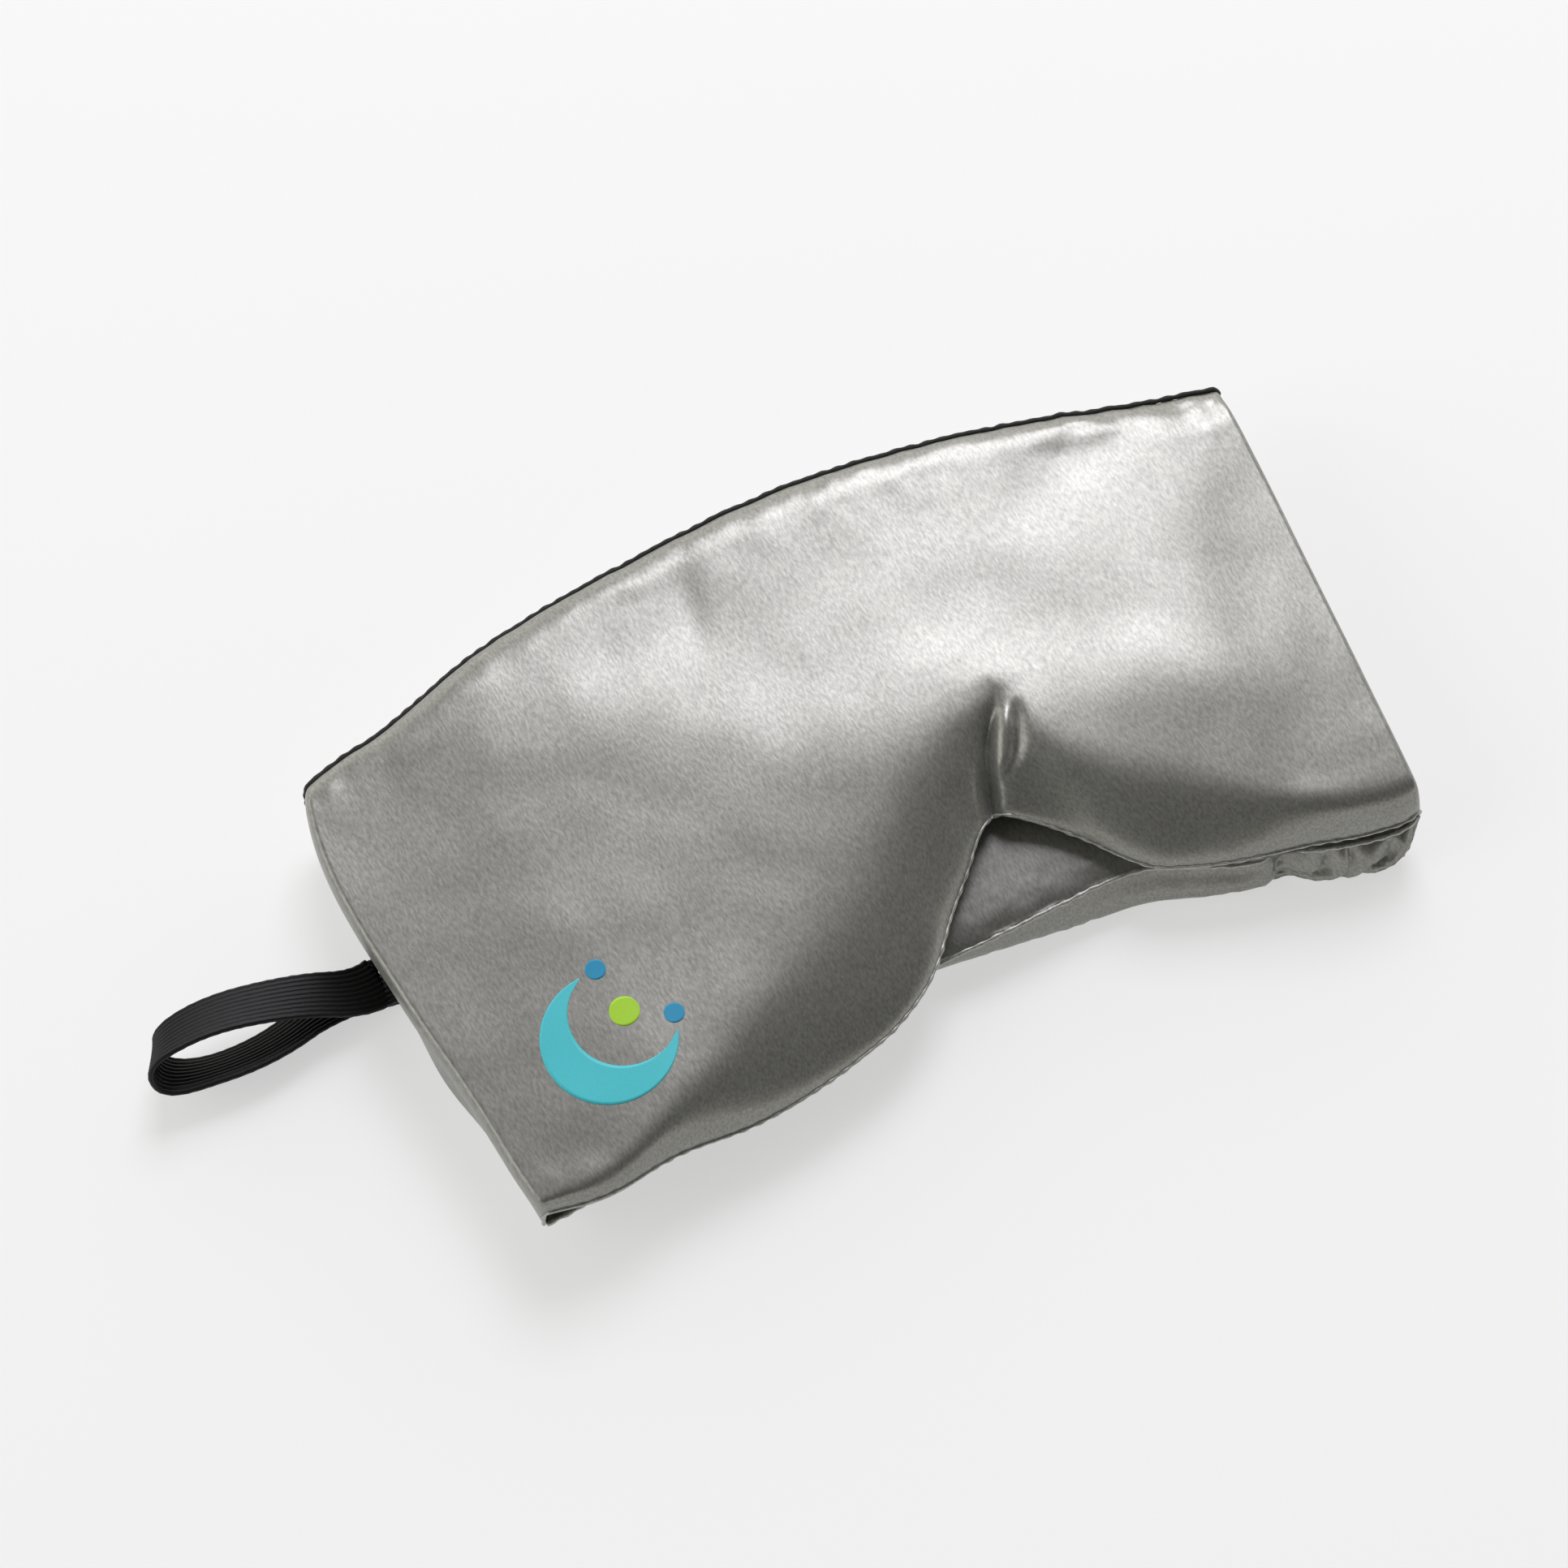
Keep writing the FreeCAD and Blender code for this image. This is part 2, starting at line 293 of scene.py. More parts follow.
def marks(points):
    """Height of the dents and swellings together."""
    height = np.zeros(points.shape[:-1])
    for middle, long, wide, turn, rise in TOP_MARKS:
        way = np.array([math.cos(math.radians(turn)), math.sin(math.radians(turn))])
        offset = points - np.array(middle)
        height += rise * bump(offset @ way, long) * bump(offset @ np.array([-way[1], way[0]]), wide)
    return height


def pleat(points):
    """The pinched valley above the notch, with the small loop of cloth at its right."""
    x, y = points[..., 0], points[..., 1]
    valley, groove = through(VALLEY)(y), through(LOOP_GROOVE)(y)
    inside = smooth(y, -22.0, -17.5) * smooth(-y, 1.0, 8.0)
    height = -PLEAT_DEPTH * bump(x - valley, 1.6) * inside
    left_of_it = np.maximum(valley - x, 0)
    right_of_it = np.maximum(x - valley, 0)
    slopes = np.exp(-left_of_it / 4.0 - right_of_it / 2.0)
    height -= HOLLOW_DEPTH * slopes * smooth(y, -23.0, -15.0) * smooth(-y, -4.0, 9.0)
    within = np.clip((x - valley) / (groove - valley), 0, 1)
    in_loop = smooth(y, -15.5, -12.5) * smooth(-y, 2.5, 7.0)
    height += LOOP_RISE * np.maximum(4 * within * (1 - within), 0) * in_loop
    height -= LOOP_RISE * bump(x - groove, 1.4) * in_loop
    return height


def puckers(points, distance, wavelength, reach, seed):
    """Small gathers that run in from a seam and fade."""
    wave = ripple(points, wavelength, seed) + 0.5 * ripple(points, wavelength / 2.1, seed + 5)
    return wave * np.exp(-distance / reach)


def seam_height(points):
    """The centre panel's seam is lower under the lobes, and pinched up at the notch."""
    x, y = points[..., 0], points[..., 1]
    at_notch = 2.6 * bump(x - NOTCH[0], 9)
    at_lobe = 0.8 * bump(x + 5, 20)
    at_left_end = 5.0 * smooth(-x, 50, 80)
    cheek_seam = LOBE_SEAM_Z + at_notch + at_lobe + at_left_end
    return cheek_seam + (CENTRE_SEAM_Z - cheek_seam) * smooth(y - cheek_y(x), 8, 30)


def cheek_roll(points):
    """0 at the cheek edge and 1 beyond the crest: a rolled rim with a soft slope above it."""
    x, y = points[..., 0], points[..., 1]
    up = (y - cheek_y(x)) / (crest_y(x) - cheek_y(x))
    softness = 0.20 - 0.05 * smooth(x, NOTCH[0], NOTCH[0] + 15)
    slope = soft_limit(np.maximum(up, 0), softness)
    return (1 - RIM_SHARE) * slope + RIM_SHARE * ease(np.clip(up, 0, 1), 1.0)


def centre_top(points):
    """Height of the centre panel's outer satin."""
    x = points[..., 0]
    from_cheek, from_forehead = edge_distances(points)
    rise = cheek_roll(points) * ease(from_forehead, 7.0, 2.4)
    seam_z = seam_height(points)
    crown = CROWN_TOP - seam_z - 1.0 * smooth(abs(x), 60, 95)
    height = seam_z + crown * rise
    inner = smooth(from_cheek, 0, 9) * smooth(from_forehead, 0, 9)
    height += inner * (marks(points) + 0.35 * ripple(points, 30.0, 3.0) + 0.12 * ripple(points, 11.0, 7.0))
    gathers = 0.55 + 0.5 * smooth(x, 40, 70)
    height += gathers * puckers(points, from_forehead, wavelength=6.0, reach=4.5, seed=11.0)
    height += 0.35 * puckers(points, from_cheek, wavelength=9.0, reach=6.0, seed=13.0)
    return height + pleat(points)


def fold_drop(points, width, power):
    """1 on the panel, falling as a quarter round to 0 at each fold's outermost line."""
    x, y = points[..., 0], points[..., 1]
    left = ease(x - np.interp(y, LEFT_SPLIT[:, 1], LEFT_SPLIT[:, 0]), width, power)
    right = ease(np.interp(y, RIGHT_SPLIT[:, 1], RIGHT_SPLIT[:, 0]) - x, width, power)
    return left * right


def inner_gap(points):
    """How far a hidden or facing satin stays from the plane of the fold axes."""
    x, y = points[..., 0], points[..., 1]
    beyond = np.maximum(left_axis_x(y) - x, x - right_axis_x(y))
    return SKIN_GAP + (KNUCKLE_GAP - SKIN_GAP) * smooth(beyond, 0, 2)


def centre_cushion_points():
    """The centre panel's plan points, and the heights of its outer satin and its face satin there."""
    width = RIGHT_SPLIT[0, 0] - LEFT_SPLIT[0, 0]
    notch = NOTCH[0] - LEFT_SPLIT[0, 0]
    columns = spaced(width, step=1.5, fine=0.3, spots=(0.0, notch, notch + 8.0, width), reach=5.0)
    plan = patch(LEFT_SPLIT, RIGHT_SPLIT, cheek_y, forehead_y, columns)
    top = FOLD_HEIGHT + (centre_top(plan) - FOLD_HEIGHT) * fold_drop(plan, *CENTRE_FOLD)
    seam_rows = (1 - ROWS) * top[:, :1] + ROWS * top[:, -1:]
    floor = FOLD_HEIGHT + inner_gap(plan)
    to_edge = np.minimum(*edge_distances(plan))
    bottom = floor + (seam_rows - floor) * (1 - ease(to_edge, 4.0))
    return plan, top, bottom


def with_height(plan, height):
    """Points in space from points in plan and their heights."""
    return np.concatenate([plan, height[..., None]], -1)


def placed(name, data):
    """A new object in the scene."""
    item = bpy.data.objects.new(name, data)
    bpy.context.collection.objects.link(item)
    return item


def new_piece(name, points, faces, *materials):
    """An object in the scene from points in metres, faces and materials."""
    mesh = bpy.data.meshes.new(name)
    mesh.from_pydata(points, [], faces)
    for material in materials:
        mesh.materials.append(material)
    return placed(name, mesh)


# The corners of a face in a grid or between rings, as steps along and across, in both directions.
ALONG_FIRST = ((0, 0), (1, 0), (1, 1), (0, 1))
ACROSS_FIRST = ((0, 0), (0, 1), (1, 1), (1, 0))


def quads(index, corners):
    """Faces between the neighbours in a grid of point numbers, with their corners in this order."""
    cells = [(i, j) for i in range(index.shape[0] - 1) for j in range(index.shape[1] - 1)]
    return [[int(index[i + along, j + across]) for along, across in corners] for i, j in cells]


def closed_mesh(name, outer, inner):
    """A closed mesh from two grids of points that share a rim, with the inner grid's point numbers."""
    rows, columns = outer.shape[:2]
    points = [tuple(p * MM) for p in outer.reshape(-1, 3)]
    outer_index = np.arange(rows * columns).reshape(rows, columns)
    index = outer_index.copy()
    for i in range(1, rows - 1):
        for j in range(1, columns - 1):
            index[i, j] = len(points)
            points.append(tuple(inner[i, j] * MM))
    outer_faces = quads(outer_index, ALONG_FIRST)
    inner_faces = quads(index, ACROSS_FIRST)
    piece = new_piece(name, points, outer_faces + inner_faces, OUTER_SATIN, FACE_SATIN)
    for polygon in piece.data.polygons:
        polygon.use_smooth = True
        polygon.material_index = 0 if polygon.index < len(outer_faces) else 1
    return piece, index


def sharpen(piece, vertices):
    """Keep a hard edge where both ends of an edge are in the set."""
    mesh = piece.data
    sharp = [edge.vertices[0] in vertices and edge.vertices[1] in vertices for edge in mesh.edges]
    mesh.attributes.new("sharp_edge", "BOOLEAN", "EDGE").data.foreach_set("value", sharp)


def node_material(name):
    """A new material with its node tree and its shader."""
    material = bpy.data.materials.new(name)
    material.use_nodes = True
    tree = material.node_tree
    shader = tree.nodes["Principled BSDF"]
    return material, tree, shader


def set_inputs(node, values):
    for key, value in values.items():
        node.inputs[key].default_value = value


def add(tree, kind, inputs=None, **settings):
    """A new node with its settings and the values or links of its inputs."""
    node = tree.nodes.new(kind)
    for key, value in settings.items():
        setattr(node, key, value)
    for key, value in (inputs or {}).items():
        if isinstance(value, bpy.types.NodeSocket):
            tree.links.new(value, node.inputs[key])
        else:
            node.inputs[key].default_value = value
    return node


def colour_by(grain, tree, shader, shade, dark, light):
    """A base colour that goes with the grain from dark times the shade to light times it."""
    colour = add(tree, "ShaderNodeMix", {"Factor": grain}, data_type="RGBA")
    # A and B of a colour Mix node share their names with those of numbers, so they go by place.
    ends = {6: [dark * c for c in shade] + [1], 7: [min(1.0, light * c) for c in shade] + [1]}
    set_inputs(colour, ends)
    tree.links.new(colour.outputs[2], shader.inputs["Base Color"])


def emboss(grain, tree, shader, strength):
    """A shallow relief of the grain."""
    relief = add(tree, "ShaderNodeBump", {"Height": grain, "Strength": strength, "Distance": 0.0001})
    tree.links.new(relief.outputs[0], shader.inputs["Normal"])


def satin(name, shade, roughness):
    """Woven polyester satin: a silvery sheen over a fine slanted weave."""
    material, tree, shader = node_material(name)
    place = add(tree, "ShaderNodeTexCoord").outputs["Object"]
    turned = {"Rotation": (0, 0, 0.6), "Scale": (1.0, 0.4, 1.0)}
    slanted = add(tree, "ShaderNodeMapping", {"Vector": place, **turned})
    weave = add(tree, "ShaderNodeTexNoise", {"Vector": slanted.outputs[0], "Scale": 2100.0, "Detail": 2.0})
    cloud = add(tree, "ShaderNodeTexNoise", {"Vector": place, "Scale": 45.0, "Detail": 4.0})
    grain = weave.outputs["Fac"]
    colour_by(grain, tree, shader, shade, 0.52, 1.48)
    limits = {"To Min": roughness - 0.05, "To Max": roughness + 0.05}
    rough = add(tree, "ShaderNodeMapRange", {"Value": cloud.outputs["Fac"], **limits})
    tree.links.new(rough.outputs[0], shader.inputs["Roughness"])
    emboss(grain, tree, shader, 0.22)
    set_inputs(shader, {"Metallic": 0.55, "Sheen Weight": 0.1, "Sheen Roughness": 0.4})
    return material


def plain_cloth(name, shade, scale, strength, roughness=0.8, variation=0.3, gloss=0.5):
    """A dull yarn, weave or ink with a fine uneven surface."""
    material, tree, shader = node_material(name)
    place = add(tree, "ShaderNodeTexCoord").outputs["Object"]
    weave = add(tree, "ShaderNodeTexNoise", {"Vector": place, "Scale": scale, "Detail": 4.0})
    grain = weave.outputs["Fac"]
    colour_by(grain, tree, shader, shade, 1 - variation, 1 + variation)
    emboss(grain, tree, shader, strength)
    set_inputs(shader, {"Roughness": roughness, "Specular IOR Level": gloss})
    return material


OUTER_SATIN = satin("outer_satin", (0.26, 0.26, 0.24), 0.36)
# The cheek and wing seams' ridges are the same satin painted lighter: a painted highlight for the light that
# a rolled seam edge catches.
SEAM_PAINTED_HIGHLIGHT = satin("seam_painted_highlight_satin", (0.40, 0.40, 0.375), 0.45)
# The forehead seam's ridge is the same satin painted near black: a painted shadow for the shaded gap along
# the forehead edge.
FOREHEAD_SEAM_PAINTED_SHADOW = satin("forehead_seam_painted_shadow", (0.03, 0.03, 0.028), 0.7)
FACE_SATIN = satin("face_satin", (0.2, 0.2, 0.186), 0.5)
ELASTIC = plain_cloth("elastic", (0.005, 0.005, 0.006), 1800.0, 0.5, roughness=0.5, gloss=0.3)
DARK_THREAD = plain_cloth("dark_thread", (0.02, 0.02, 0.022), 3000.0, 0.5)


def build_centre():
    """The centre panel's cushion, with the grid of the point numbers of its face satin and rim."""
    plan, top, bottom = centre_cushion_points()
    outer = with_height(plan, top)
    from_left = plan[..., 0] - LEFT_SPLIT[None, :, 0]
    drop = fold_drop(plan, *CENTRE_FOLD)
    ends = ease(np.minimum(ROWS, 1 - ROWS), 0.12)
    outer[..., 0] -= OVERHANG * smooth(drop, 0, 0.75) * np.exp(-from_left / 8) * ends
    piece, index = closed_mesh("centre_cushion", outer, with_height(plan, bottom))
    sharpen(piece, {int(n) for n in index[0]} | {int(n) for n in index[-1]})
    return piece, index


def tip_line(ends, way):
    """A wing's tip with rounded corners, one point for each row. way is 1 if it points to +x, and else -1."""
    (low_x, low_y), (high_x, high_y) = ends
    bulge = TIP_ROUND * (1 - abs(2 * ROWS - 1) ** 3.5)
    x = low_x + (high_x - low_x) * ROWS + way * (bulge - TIP_ROUND)
    y = low_y + (high_y - low_y) * ROWS
    return np.stack([x, y], -1)


def crumple(points, from_edge):
    """Creases where the right wing's cheek edge is pressed together at its fold."""
    x = points[..., 0]
    near = smooth(x, 60, 68) * smooth(-x, -92, -84) * smooth(from_edge, 0, 0.3) * smooth(-from_edge, -9, -3)
    slanted = x + 2.5 * from_edge
    creases = np.abs(np.sin(slanted / 1.9 + 2.2 * ripple(points, 7.0, 41.0)))
    dent = 3.5 * bump(x - 64, 3.0) * bump(from_edge - 1.5, 2.5)
    return near * (CREASE_DEPTH * creases - CREASE_DEPTH / 2) - dent


def gathered(line):
    """An edge y(x) with the small waves of a gathered seam."""
    places = range(-110, 111)
    strength = [noise.noise(Vector((x / 5, 3, 0))) for x in places]
    wave = through([(x, EDGE_WAVE * math.sin(1.3 * x) * share) for x, share in zip(places, strength)])
    return lambda x: line(x) + wave(x)


def wing_plan(side):
    """A wing's plan points, and their distances from its cheek edge, its forehead edge and its tip."""
    edges = WING_EDGES[side]
    low, high = gathered(through(edges["cheek"])), through(edges["forehead"])
    tip = tip_line(edges["tip"], 1 if side == "left" else -1)
    lines = (LEFT_SPLIT, tip) if side == "left" else (tip, RIGHT_SPLIT)
    width = abs(lines[1][0, 0] - lines[0][0, 0])
    crumpled = (width - 26.0, width - 14.0) if side == "right" else ()
    columns = spaced(width, step=1.6, fine=0.45, spots=(0.0, *crumpled, width), reach=5.0)
    plan = patch(*lines, low, high, columns)
    x, y = plan[..., 0], plan[..., 1]
    from_low = (y - y[:, :1]) * slant(low, x)
    from_high = (y[:, -1:] - y) * slant(high, x)
    from_tip = abs(np.interp(y, tip[:, 1], tip[:, 0]) - x)
    return plan, from_low, from_high, from_tip


def wing_heights(side, plan, from_low, from_high, from_tip):
    """Heights of a wing's outer satin, which lies underneath, and of its face satin."""
    x = plan[..., 0]
    full = ease(from_low, RIM_WIDTH) * ease(from_high, RIM_WIDTH) * ease(from_tip, RIM_WIDTH)
    to_edge = np.minimum(np.minimum(from_low, from_high), from_tip)
    from_split = abs(x - SPLITS[side][None, :, 0])
    seam_z = WING_SEAM_Z + 3.0 * (1 - smooth(from_split, 12, 36))
    if side == "right":
        seam_z = seam_z + 2.0 * smooth(x, -12, 10) * smooth(-x, -60, -40) * bump(from_low, 10)
    seam_z = seam_z + 0.5 * puckers(plan, to_edge, wavelength=6.0, reach=3.0, seed=21.0)
    drop = fold_drop(plan, *WING_FOLD)
    bottom = seam_z * (1 - full)
    if side == "left":
        bottom = np.maximum(bottom, channel(plan))
    outer = FOLD_HEIGHT + (bottom - FOLD_HEIGHT) * drop
    ceiling = FOLD_HEIGHT - inner_gap(plan)
    face = ceiling - (ceiling - seam_z) * (1 - ease(to_edge, 7.0)) * smooth(drop, 0, 1)
    gathers = np.abs(puckers(plan, to_edge, wavelength=5.0, reach=4.0, seed=31.0))
    return outer, face - 0.9 * gathers * smooth(to_edge, 0, 1)


def beside_panel(plan):
    """How far the left wing's edge stands out beside the panel, below the strap."""
    x, y = plan[..., 0], plan[..., 1]
    from_split = x - LEFT_SPLIT[None, :, 0]
    sliver = bump(y + 18, 11) * smooth(fold_drop(plan, *WING_FOLD), 0, 0.5) * np.exp(-from_split / 3)
    return SLIVER * sliver


def build_wing(side):
    """A wing's cushion, with the grid of the point numbers of its face satin and rim."""
    plan, from_low, from_high, from_tip = wing_plan(side)
    outer_z, face = wing_heights(side, plan, from_low, from_high, from_tip)
    outer = with_height(plan, outer_z)
    if side == "right":
        outer[..., 1] -= through(SWELL)(plan[..., 0]) * np.sin(np.pi * np.clip(from_low / 14, 0, 1) ** 0.6)
        outer = outer + crumple(plan, from_low)[..., None] * np.array([0.25, -1.0, 0.0])
    else:
        outer[..., 0] -= beside_panel(plan)
    inner = with_height(plan, face)
    piece, index = closed_mesh(f"{side}_wing_cushion", outer[:, ::-1], inner[:, ::-1])
    at_split = index[0] if side == "left" else index[-1]
    sharpen(piece, {int(n) for n in at_split})
    return piece, index


# The strap leaves the left fold here. Its hidden runs go on under the panel in one direction.
STRAP_EXIT = (-96.93, 7.71)
RUN_TURN = math.radians(-12.0)
RIBS = 10
BAND_WIDTH = 10.0
BAND_STEP = 0.9             # from one section of the band to the next
CHANNEL_DEPTH = 2.7         # the groove that the strap presses into the left wing


def channel(points):
    """Height of the groove that the strap presses into the left wing."""
    way = np.array([math.cos(RUN_TURN), math.sin(RUN_TURN)])
    beside = (points - np.array(STRAP_EXIT)) @ np.array([-way[1], way[0]])
    return CHANNEL_DEPTH * (1 - smooth(abs(beside), 5.3, 13.0))


def on_run(distance, height):
    """A point of the hidden runs, at a distance from the strap's exit."""
    x = STRAP_EXIT[0] + distance * math.cos(RUN_TURN)
    return (x, STRAP_EXIT[1] + distance * math.sin(RUN_TURN), height)


LEFT_END = (on_run(71.8, 4.4), on_run(71.8, 1.9), on_run(0.0, 1.9))
RIGHT_END = (on_run(0.0, 0.75), on_run(84.2, 0.75), on_run(84.2, 4.4))
LOOP = (
    on_run(0.0, 1.9), (-101.0, 6.2, 3.4), (-112.0, 9.4, 9.4), (-129.0, 12.6, 12.4), (-141.5, 11.0, 11.6),
    (-140.0, 6.4, 3.9), (-121.5, 3.9, 3.6), (-105.0, 8.6, 2.6), on_run(0.0, 0.75),
)
# The band's wide direction: along the hidden runs, on the loop's way out, and on its way back.
RUN_WIDE = np.array([-math.sin(RUN_TURN), math.cos(RUN_TURN), 0.0])
UPPER_WIDE = np.array([0.36, 0.80, -0.48])
LOWER_WIDE = np.array([0.39, 0.66, -0.64])


def route_points(name, route):
    """Points along the route's smooth line."""
    curve = bpy.data.curves.new(name, "CURVE")
    curve.dimensions = "3D"
    spline = curve.splines.new("NURBS")
    spline.points.add(len(route) - 1)
    for point, place in zip(spline.points, route):
        point.co = (place[0] * MM, place[1] * MM, place[2] * MM, 1)
    spline.order_u = 3
    spline.use_endpoint_u = True
    spline.resolution_u = 24
    holder = bpy.data.objects.new(name + "_line", curve)
    mesh = bpy.data.meshes.new_from_object(holder)
    points = np.array([v.co for v in mesh.vertices]) / MM
    bpy.data.objects.remove(holder)
    return points


def evened(points, step):
    """The same line with its points step apart."""
    lengths = np.concatenate([[0], np.cumsum(np.linalg.norm(np.diff(points, axis=0), axis=1))])
    places = np.linspace(0, lengths[-1], int(lengths[-1] / step) + 1)
    return np.stack([np.interp(places, lengths, points[:, k]) for k in range(3)], -1)


def band_section():
    """The ribbed outline of the elastic, as (across, through) pairs."""
    points_per_rib = 4
    across = np.linspace(-BAND_WIDTH / 2, BAND_WIDTH / 2, RIBS * points_per_rib + 1)
    phase = (across / BAND_WIDTH + 0.5) * RIBS * math.pi
    thick = 0.14 + 0.42 * abs(np.sin(phase)) ** 0.7
    face = list(zip(across, thick))
    return face + [(a, -t) for a, t in reversed(face)]


def ring_faces(rings, around, corners):
    """The sides between rings of points, with their corners in this order, and the two ends."""
    sides = [[(k + ring) * around + (m + step) % around for ring, step in corners]
             for k in range(rings - 1) for m in range(around)]
    ends = [list(range(around)), list(range((rings - 1) * around, rings * around))]
    ends[corners == ALONG_FIRST].reverse()
    return sides + ends


def build_band(name, route, lean):
    """A ribbed band along the route, with its line and length in metres.

    lean(share) is the band's wide direction before it is squared to the line."""
    line = evened(route_points(name, route), BAND_STEP)
    tangents = np.gradient(line, axis=0)
    tangents /= np.linalg.norm(tangents, axis=1)[:, None]
    section = band_section()
    points = []
    for k, (centre, way) in enumerate(zip(line, tangents)):
        wide = lean(k / (len(line) - 1))
        wide = wide - way * (wide @ way)
        wide /= np.linalg.norm(wide)
        thick = np.cross(way, wide)
        scallop = 1 + 0.012 * math.sin(k * 2.4)
        for a, t in section:
            points.append(tuple((centre + wide * a * scallop + thick * t) * MM))
    piece = new_piece(name, points, ring_faces(len(line), len(section), ACROSS_FIRST), ELASTIC)
    for polygon in piece.data.polygons:
        polygon.use_smooth = len(polygon.vertices) == 4
    length = float(np.linalg.norm(np.diff(line, axis=0), axis=1).sum()) * MM
    return piece, [tuple(p * MM) for p in line], length


def run_lean(share):
    """The hidden runs lie flat all the way."""
    return RUN_WIDE


def loop_lean(share):
    """The loop leans back: its wide direction turns from level at the exit to steep on the way back."""
    amount = math.sin(math.pi * share) ** 0.6
    later = float(smooth(share, 0.45, 0.65))
    return RUN_WIDE * (1 - amount) + (UPPER_WIDE * (1 - later) + LOWER_WIDE * later) * amount


def build_strap():
    """The elastic in three stretches: the loop goes with the centre panel, and the two hidden ends stay where
    they are drawn.
    """
    bands = (
        build_band("left_strap_end", LEFT_END, run_lean),
        build_band("strap_loop_band", LOOP, loop_lean),
        build_band("right_strap_end", RIGHT_END, run_lean),
    )
    left, loop, right = [band[0] for band in bands]
    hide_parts("strap_left_end")
    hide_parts("strap_loop")
    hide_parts("strap_right_end")
    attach(loop, "centre")
    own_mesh(loop)
    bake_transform(left)
    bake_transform(right)


def tube(name, path, radius, material, sides=8):
    """A round ridge along a path of points. The radius is one number, or one for each point."""
    points = []
    for centre, way, size in zip(path, np.gradient(path, axis=0), np.broadcast_to(radius, len(path))):
        way = way / max(np.linalg.norm(way), 1e-9)
        aside = np.cross(way, (0, 0, 1))
        aside /= max(np.linalg.norm(aside), 1e-9)
        lift = np.cross(aside, way)
        for m in range(sides):
            turn = 2 * math.pi * m / sides
            points.append(tuple((centre + size * (aside * math.cos(turn) + lift * math.sin(turn))) * MM))
    faces = ring_faces(len(path), sides, ALONG_FIRST)
    piece = new_piece(name, points, faces, material)
    piece.data.polygons.foreach_set("use_smooth", [True] * len(faces))
    return piece


def seam(name, path, material, size):
    """The turned and stitched edge: a thin ridge of satin, drawn in a little at each stitch."""
    path = evened(np.array(path), SEAM_STEP)[1:-1]
    place = np.arange(len(path)) * SEAM_STEP
    radius = size + 0.08 * np.sin(place * 2 * math.pi / STITCH) + 0.05 * np.sin(place * 1.7)
    piece = tube(name, path, radius, material)
    return piece


def bartack(side):
    """Dense zigzag stitches that hold a strap end on the wing's tip."""
    low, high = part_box(f"{side}_strap_bartack")
    middle = (np.array(low) + np.array(high)) / 2 / MM
    reach = (high[2] - low[2]) / 2 / MM - 0.15
    width, turns = 7.4, 26
    path = []
    for k in range(turns + 1):
        across = (k / turns - 0.5) * width
        path.append(middle + RUN_WIDE * across + np.array([0, 0, reach if k % 2 else -reach]))
    piece = tube(f"{side}_bartack_zigzag", evened(np.array(path), 0.2), 0.16, DARK_THREAD, sides=6)
    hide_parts(f"{side}_strap_bartack")
    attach(piece, f"{side}_wing")


# The print is a generic crescent with three dots.
MOTIF_CENTRE = (-66.0, -28.0)
MOTIF_RADIUS = 12.5
BITE = (35.0, 0.45, 0.82)       # direction in degrees, distance and radius as shares of the crescent's radius
DOTS = ((35.0, 0.45, 2.8), (75.0, 1.05, 1.9), (-5.0, 1.0, 1.9))     # direction, distance as a share, radius
INK_LIFTS = (0.05, -0.06)       # the print's front above the satin, and its back


def polar(centre, degrees, radius):
    """The plan point in a direction and at a distance from the centre."""
    turn = math.radians(degrees)
    return np.array([centre[0] + radius * math.cos(turn), centre[1] + radius * math.sin(turn)])


def crescent_grid():
    """Plan points of the crescent: from one horn to the other, and from its inner to its outer arc."""
    turn, distance, bite = BITE
    outer_open = math.degrees(math.acos((1 + distance**2 - bite**2) / (2 * distance)))
    inner_open = math.degrees(math.acos((distance**2 + bite**2 - 1) / (2 * distance * bite)))
    bite_centre = polar(MOTIF_CENTRE, turn, distance * MOTIF_RADIUS)
    grid = []
    for share in np.linspace(0, 1, 61):
        outer_turn = turn + outer_open + share * (360 - 2 * outer_open)
        inner_turn = turn + inner_open + share * (360 - 2 * inner_open)
        outer = polar(MOTIF_CENTRE, outer_turn, MOTIF_RADIUS)
        inner = polar(bite_centre, inner_turn, bite * MOTIF_RADIUS)
        grid.append([inner + (outer - inner) * t for t in np.linspace(0, 1, 13)])
    return np.array(grid)


def disc_grid(centre, radius):
    """Plan points of a disc, in rows from its right end to its left end."""
    grid = []
    for turn in np.linspace(0, math.pi, 25):
        middle = np.array(centre) + np.array([radius * math.cos(turn), 0])
        grid.append([middle + np.array([0, radius * math.sin(turn) * t]) for t in np.linspace(-1, 1, 13)])
    return np.array(grid)


def laid_on(surface, grid, lift):
    """The grid's points on the surface below them, lifted off it."""
    points = []
    for x, y in grid.reshape(-1, 2):
        hit, normal, _, _ = surface.ray_cast(Vector((x * MM, y * MM, 0.05)), Vector((0, 0, -1)))
        points.append(tuple(hit + normal * lift * MM))
    return points


def print_faces(rows, columns, first):
    """The front and back faces of a print's grid, and then the faces of its two long sides."""
    count = rows * columns
    flat, rim = [], []
    for i in range(rows - 1):
        for j in range(columns - 1):
            a, b = i * columns + j, i * columns + j + 1
            c, d = b + columns, a + columns
            flat.append([first + n for n in (a, b, c, d)])
            flat.append([first + count + n for n in (d, c, b, a)])
    for side in (0, columns - 1):
        for a in range(side, count - columns, columns):
            quad = [a, a + columns, a + columns + count, a + count]
            rim.append([first + n for n in (quad[::-1] if side else quad)])
    return flat, rim


